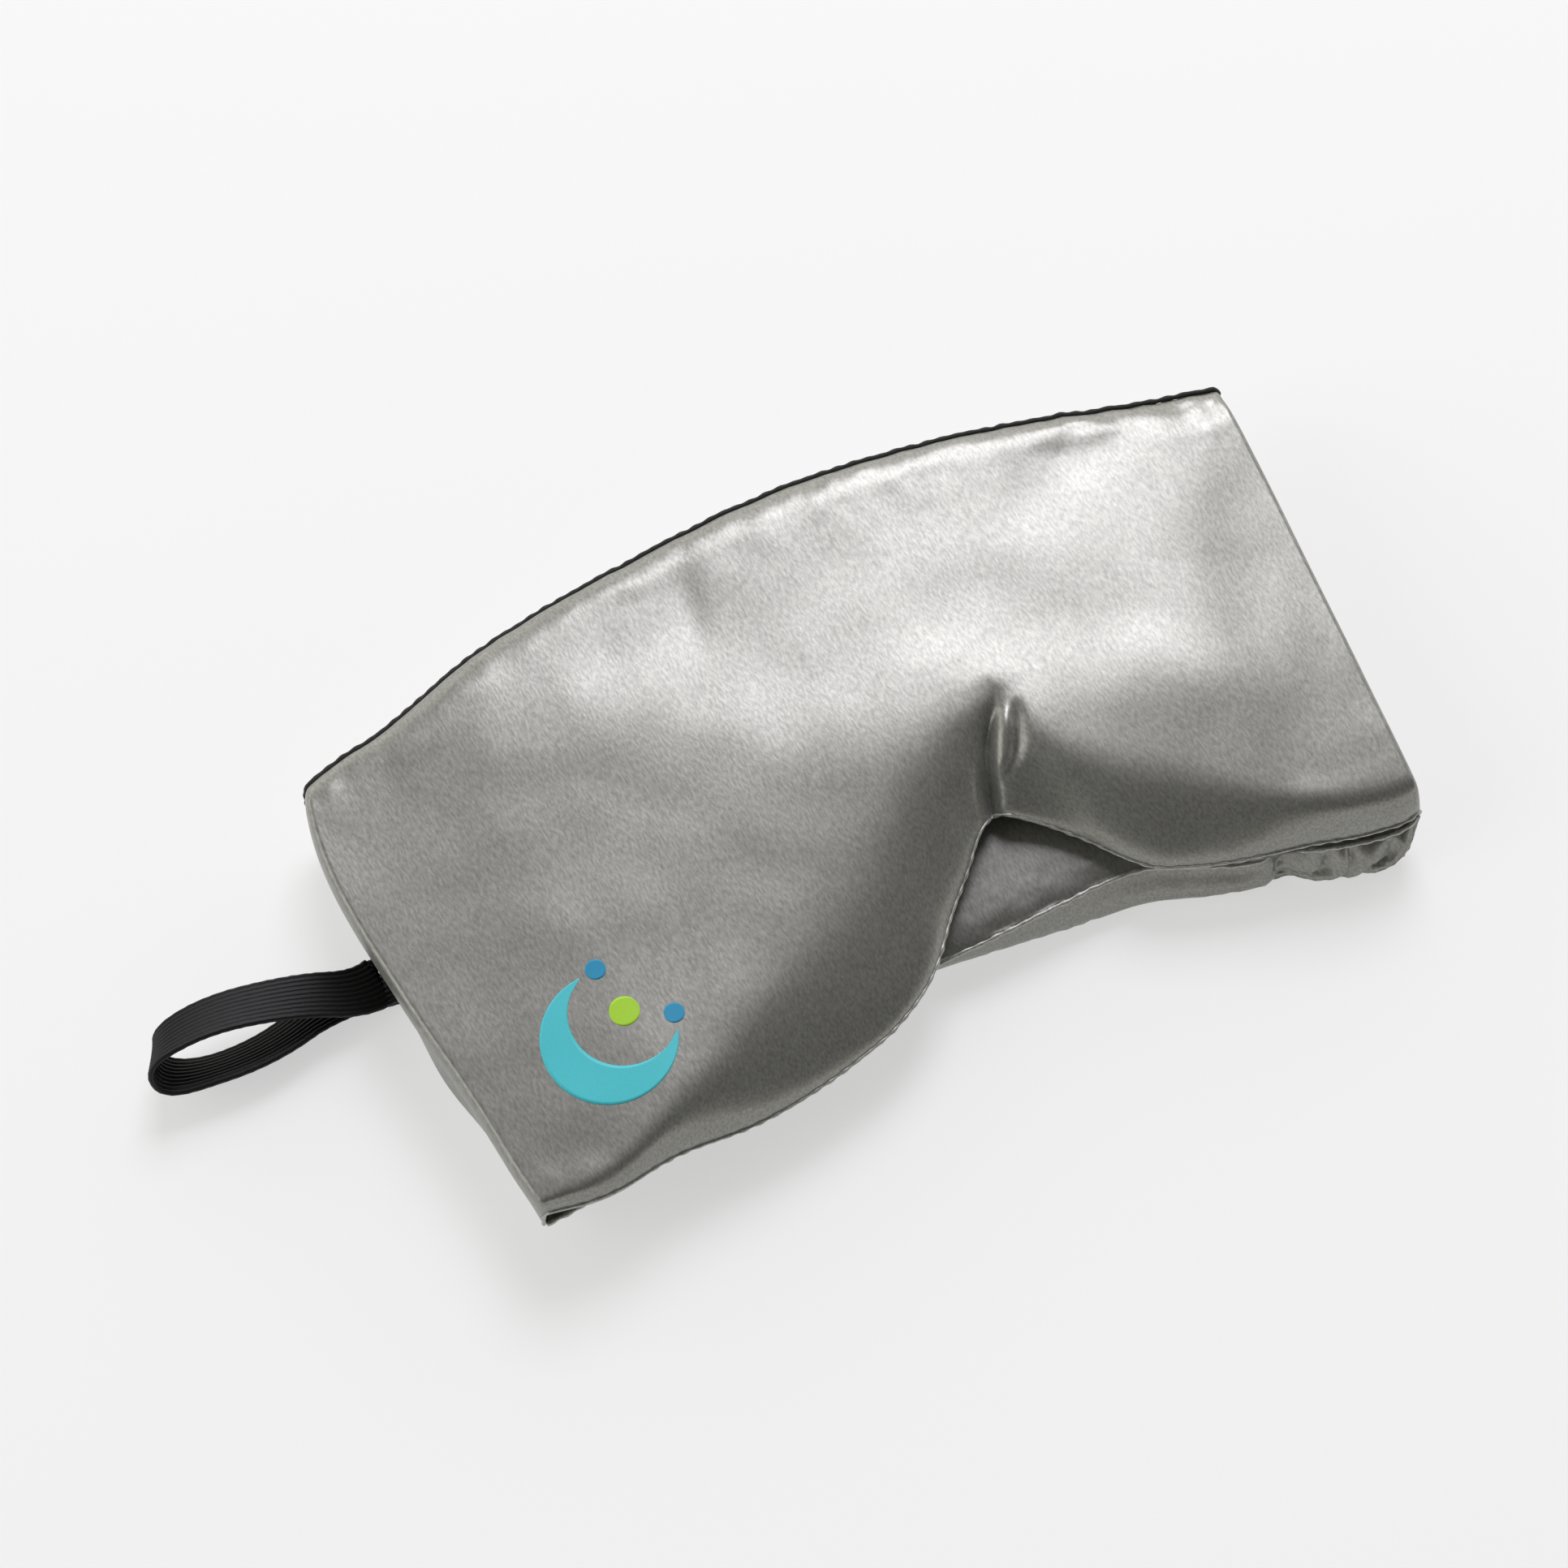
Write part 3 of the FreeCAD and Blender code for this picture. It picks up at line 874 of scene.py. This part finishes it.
def print_piece(name, grids, materials, surface):
    """A print on the satin: each grid is laid on the surface, a hair above it, with its sides closed."""
    points, faces, slots, rounded = [], [], [], []
    for number, grid in enumerate(grids):
        flat, rim = print_faces(*grid.shape[:2], len(points))
        for lift in INK_LIFTS:
            points += laid_on(surface, grid, lift)
        faces += flat + rim
        rounded += [True] * len(flat) + [False] * len(rim)
        slots += [number % len(materials)] * (len(flat) + len(rim))
    piece = new_piece(name, points, faces, *materials)
    piece.data.polygons.foreach_set("use_smooth", rounded)
    piece.data.polygons.foreach_set("material_index", slots)
    return piece


def print_ink(name, shade):
    """Screen print: an even ink that lets a little of the weave's relief through."""
    return plain_cloth(name, shade, 2600.0, 0.12, roughness=0.5, variation=0.06)


def build_print(cushion):
    """The crescent and the dots on the centre panel."""
    graph = bpy.context.evaluated_depsgraph_get()
    surface = BVHTree.FromObject(cushion, graph)
    teal = print_ink("print_teal", (0.056, 0.546, 0.623))
    lime = print_ink("print_lime", (0.367, 0.658, 0.016))
    blue = print_ink("print_blue", (0.0, 0.260, 0.479))
    crescent = print_piece("crescent_print", [crescent_grid()], [teal], surface)
    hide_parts("print_crescent")
    places = [polar(MOTIF_CENTRE, turn, reach * MOTIF_RADIUS) for turn, reach, _ in DOTS]
    discs = [disc_grid(place, dot[2]) for place, dot in zip(places, DOTS)]
    dots = print_piece("dots_print", discs, [lime, blue, blue], surface)
    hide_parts("print_dots")
    for piece in (crescent, dots):
        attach(piece, "centre")


def add_weights(piece, name, weights):
    """A vertex group from a list of weights, in steps of one twentieth."""
    group = piece.vertex_groups.new(name=name)
    steps = 20
    levels = np.round(np.array(weights) * steps).astype(int)
    for level in range(1, steps + 1):
        group.add([int(n) for n in np.nonzero(levels == level)[0]], level / steps, "REPLACE")


def satin_cloth(piece):
    """The Cloth modifier for a piece with vertex groups that say where it is held and slack."""
    cloth = piece.modifiers.new("satin", "CLOTH")
    for key, value in CLOTH_SETTINGS.items():
        setattr(cloth.settings, key, value)
    cloth.settings.effector_weights.gravity = 0
    cloth.collision_settings.use_collision = False
    cloth.point_cache.frame_start = 1
    cloth.point_cache.frame_end = SETTLE_FRAMES
    return cloth


def limited(shift):
    """Moves in metres, shortened so that none is longer than LARGEST_SHIFT."""
    size = np.linalg.norm(shift, axis=1)
    allowed = LARGEST_SHIFT * MM * np.tanh(size / (LARGEST_SHIFT * MM))
    return shift * (allowed / np.maximum(size, 1e-9))[:, None]


def settle(piece, free, slack):
    """Cloth simulation, applied. free is each point's share of freedom, and where slack is 1 the satin
    is longer than it was drawn, so it gathers."""
    mesh = piece.data
    before = np.array([v.co for v in mesh.vertices])
    add_weights(piece, "held", 1 - np.array(free))
    add_weights(piece, "slack", slack)
    cloth = satin_cloth(piece)
    for number in range(1, SETTLE_FRAMES + 1):
        bpy.context.scene.frame_set(number)
    result = piece.evaluated_get(bpy.context.evaluated_depsgraph_get()).data
    after = np.array([v.co for v in result.vertices])
    piece.modifiers.remove(cloth)
    bpy.context.scene.frame_set(1)
    for group in list(piece.vertex_groups):
        piece.vertex_groups.remove(group)
    mesh.vertices.foreach_set("co", (before + limited(after - before)).ravel())
    mesh.update()


def settle_centre(piece):
    """The centre's outer satin settles; its fold lines, seams, pleat and inner satin are held."""
    plan, _, _ = centre_cushion_points()
    x, y = plan[..., 0], plan[..., 1]
    from_edge = np.minimum(*edge_distances(plan))
    from_fold = np.minimum(x - LEFT_SPLIT[None, :, 0], RIGHT_SPLIT[None, :, 0] - x)
    away_from_pleat = 1 - bump(x - NOTCH[0] - 5, 9) * bump(y + 10, 12)
    free = smooth(from_edge, 0, 1.5) * smooth(from_fold, 5.0, 14.0) * away_from_pleat
    slack = bump(from_edge, 9.0) * (0.6 + 0.4 * ripple(plan, 12.0, 51.0))
    # The outer satin's vertices come first; the face satin's have neither freedom nor slack.
    inner = np.zeros(len(piece.data.vertices) - x.size)
    outer_free = LARGEST_FREEDOM * free.ravel()
    outer_slack = np.clip(slack, 0, 1).ravel()
    settle(piece, np.concatenate([outer_free, inner]), np.concatenate([outer_slack, inner]))


def cut_away(piece, place, direction):
    """Remove what lies beyond a plane on its `direction` side, and close the cut with flat faces."""
    mesh = bmesh.new()
    mesh.from_mesh(piece.data)
    everything = [*mesh.verts, *mesh.edges, *mesh.faces]
    result = bmesh.ops.bisect_plane(mesh, geom=everything, dist=CUT_MERGE, plane_co=place, plane_no=direction,
                                    clear_outer=True)
    rim = [item for item in result["geom_cut"] if isinstance(item, bmesh.types.BMEdge)]
    filled = bmesh.ops.triangle_fill(mesh, use_beauty=True, edges=rim)
    for face in filled["geom"]:
        if isinstance(face, bmesh.types.BMFace):
            face.smooth = False
    bmesh.ops.recalc_face_normals(mesh, faces=mesh.faces[:])
    mesh.to_mesh(piece.data)
    mesh.free()


def normal_at(whole, surface, place):
    """The smooth normal of a mesh at a place on it."""
    number = surface.find_nearest(place)[2]
    corners = [whole.vertices[n] for n in whole.polygons[number].vertices]
    shares = poly_3d_calc([corner.co for corner in corners], place)
    total = Vector((0, 0, 0))
    for corner, share in zip(corners, shares):
        total += corner.normal * share
    return total.normalized()


def keep_shading(piece, whole, surface):
    """Shade the rims of a piece's cuts as the whole piece was shaded there, so that no line shows at rest."""
    mesh = piece.data
    rim = {n for polygon in mesh.polygons if not polygon.use_smooth for n in polygon.vertices}
    on_rim = {n: normal_at(whole, surface, mesh.vertices[n].co) for n in rim}
    normals = [(0, 0, 0)] * len(mesh.loops)
    for polygon in mesh.polygons:
        for corner in polygon.loop_indices if polygon.use_smooth else ():
            normals[corner] = on_rim.get(mesh.loops[corner].vertex_index, (0, 0, 0))
    mesh.normals_split_custom_set(normals)


def fold_plane(side, body):
    """A place on a fold's axis, the way out of the fold, and the way that the body's cut face looks. The cut
    leans, so that the faces of the panel and the wing meet when the wing lies open."""
    joint = joint_named(f"{side}_fold")
    up = Vector((0, 0, 1 if body == "centre" else -1))
    outward = Vector((0, 0, 1)).cross(Vector(joint["axis"]))
    lean = math.radians((180 - joint["range_deg"][1]) / 2 - CUT_CLEARANCE)
    return Vector(joint["pos_m"]), outward, outward * math.cos(lean) - up * math.sin(lean)


def split_at_folds(piece, sides, body):
    """Make the parts of a piece beyond the folds' axes pieces of their own, which go with the body like the
    rest.
    """
    whole = piece.data.copy()
    surface = BVHTree.FromPolygons([v.co for v in whole.vertices], [p.vertices for p in whole.polygons])
    folds = []
    for side in sides:
        place, outward, beyond = fold_plane(side, body)
        name = f"{piece.name}_{side}_fold" if body == "centre" else f"{piece.name}_fold"
        fold = placed(name, whole.copy())
        cut_away(piece, place, beyond)
        cut_away(fold, place, -beyond)
        keep_shading(fold, whole, surface)
        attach(fold, body)
        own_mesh(fold)
        folds.append(fold)
    keep_shading(piece, whole, surface)
    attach(piece, body)
    return folds


def rim_points(piece, numbers):
    """The places of some of a piece's points, by their numbers."""
    return [np.array(piece.data.vertices[int(n)].co) / MM for n in numbers]


def declare_cushion(piece, *nodes):
    """Hide these CAD nodes, which the padded piece stands for."""
    if nodes:
        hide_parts(*nodes)


def finish_ridge(ridge, sides, body, node):
    """Split a seam's ridge at the folds and hide the CAD node that it stands for."""
    for fold in split_at_folds(ridge, sides, body):
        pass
    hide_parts(node)


def finish_centre():
    """The centre panel with its print, folds and seams."""
    centre, index = build_centre()
    settle_centre(centre)
    cheek_rim = rim_points(centre, index[:, 0])
    forehead_rim = [point + FOREHEAD_LIFT for point in rim_points(centre, index[:, -1])]
    build_print(centre)
    for side, fold in zip(SIDES, split_at_folds(centre, SIDES, "centre")):
        declare_cushion(fold, f"{side}_fold_wadding", f"{side}_fold_satin")
    declare_cushion(centre, *[f"centre_{layer}" for layer in LAYERS])
    # The cheek ridge is painted lighter as a painted highlight.
    cheek_ridge = seam("centre_cheek_ridge", cheek_rim, SEAM_PAINTED_HIGHLIGHT, SEAM_RADIUS)
    finish_ridge(cheek_ridge, SIDES, "centre", "centre_cheek_seam")
    # The forehead ridge is painted near black as a painted shadow.
    forehead_ridge = seam("centre_forehead_ridge", forehead_rim, FOREHEAD_SEAM_PAINTED_SHADOW, FOREHEAD_SEAM_RADIUS)
    finish_ridge(forehead_ridge, SIDES, "centre", "centre_forehead_seam")


def finish_wing(side):
    """A wing with its fold, its seam and the bartack at its tip."""
    wing, index = build_wing(side)
    if side == "right":
        index = index[::-1]
    # From the fold along the cheek edge, round the tip and back along the forehead edge.
    around = [*index[:, 0], *index[-1], *index[::-1, -1]]
    # The wing's ridge is painted lighter as a painted highlight.
    ridge = seam(f"{side}_wing_ridge", rim_points(wing, around), SEAM_PAINTED_HIGHLIGHT, WING_SEAM_RADIUS)
    for fold in split_at_folds(wing, (side,), f"{side}_wing"):
        declare_cushion(fold)
    declare_cushion(wing, *[f"{side}_wing_{layer}" for layer in LAYERS])
    finish_ridge(ridge, (side,), f"{side}_wing", f"{side}_wing_edge_seam")
    bartack(side)


CAMERA_AZIMUTH = -27        # degrees round the mask
CAMERA_ELEVATION = 68       # degrees above the floor
CAMERA_DISTANCE = 0.650     # metres
CAMERA_AIM = (-14.53, 4.11, 15.0)
LENS = 80
SENSOR = 36


def build_camera():
    """The camera at the photo's angle."""
    azimuth, elevation = math.radians(CAMERA_AZIMUTH), math.radians(CAMERA_ELEVATION)
    level = math.cos(elevation)
    back = Vector((math.sin(azimuth) * level, -math.cos(azimuth) * level, math.sin(elevation)))
    data = bpy.data.cameras.new("camera")
    data.lens = LENS
    data.sensor_width = SENSOR
    camera = placed("camera", data)
    camera.location = Vector(CAMERA_AIM) * MM + back * CAMERA_DISTANCE
    camera.rotation_euler = back.to_track_quat("Z", "Y").to_euler()
    bpy.context.scene.camera = camera


def area_light(name, place, target, size, power, colour=(1, 1, 1)):
    """A soft light at a place, turned to its target, all in metres."""
    data = bpy.data.lights.new(name, "AREA")
    data.shape = "RECTANGLE"
    data.size, data.size_y = size
    data.energy = power
    data.color = colour
    light = placed(name, data)
    light.location = place
    direction = Vector(target) - Vector(place)
    light.rotation_euler = direction.to_track_quat("-Z", "Y").to_euler()


def build_floor():
    """A pale paper floor with a faint glow, which keeps it near white."""
    material, _, shader = node_material("floor_paper")
    set_inputs(shader, {"Base Color": (0.4, 0.4, 0.4, 1), "Roughness": 0.9})
    set_inputs(shader, {"Emission Color": (1, 1, 1, 1), "Emission Strength": 0.55})
    size = 4.0
    corners = [(-size, -size, 0), (size, -size, 0), (size, size, 0), (-size, size, 0)]
    new_piece("floor", corners, [(0, 1, 2, 3)], material)


def ramp(tree, value, start, end, at_start, at_end):
    """A soft step from one strength to another as the value goes from start to end."""
    inputs = {"Value": value, "From Min": start, "From Max": end, "To Min": at_start, "To Max": at_end}
    return add(tree, "ShaderNodeMapRange", inputs, interpolation_type="SMOOTHSTEP").outputs[0]


def build_sky():
    """A soft room light: brighter behind the mask than before it, and dimmer overhead."""
    world = bpy.data.worlds.new("studio")
    world.use_nodes = True
    tree = world.node_tree
    background = tree.nodes["Background"]
    place = add(tree, "ShaderNodeTexCoord").outputs["Generated"]
    part = add(tree, "ShaderNodeSeparateXYZ", {0: place})
    behind = ramp(tree, part.outputs["Y"], -0.30, 0.35, 0.06, 1.0)
    above = ramp(tree, part.outputs["Z"], 0.25, 0.75, 1.6, 0.33)
    sky = add(tree, "ShaderNodeMath", {0: behind, 1: above}, operation="MULTIPLY")
    horizon = ramp(tree, part.outputs["Z"], 0.05, 0.38, 1.4, 0.0)
    strength = add(tree, "ShaderNodeMath", {0: sky.outputs[0], 1: horizon}, operation="MAXIMUM")
    tree.links.new(strength.outputs[0], background.inputs["Strength"])
    background.inputs["Color"].default_value = (1.0, 0.99, 0.92, 1)
    bpy.context.scene.world = world
    bpy.context.scene.view_settings.view_transform = "Standard"


def build_studio():
    """The floor, the sky and two soft lights."""
    build_floor()
    build_sky()
    area_light("key", (0.51, 0.84, 1.20), (0.05, 0.02, 0.0), (0.7, 0.7), 14.5, (0.95, 0.935, 1.0))
    area_light("fill", (-1.30, 0.30, 0.90), (0.0, 0.0, 0.0), (1.0, 1.0), 4.0)


build_camera()
build_studio()
finish_centre()
for wing_side in SIDES:
    finish_wing(wing_side)
build_strap()
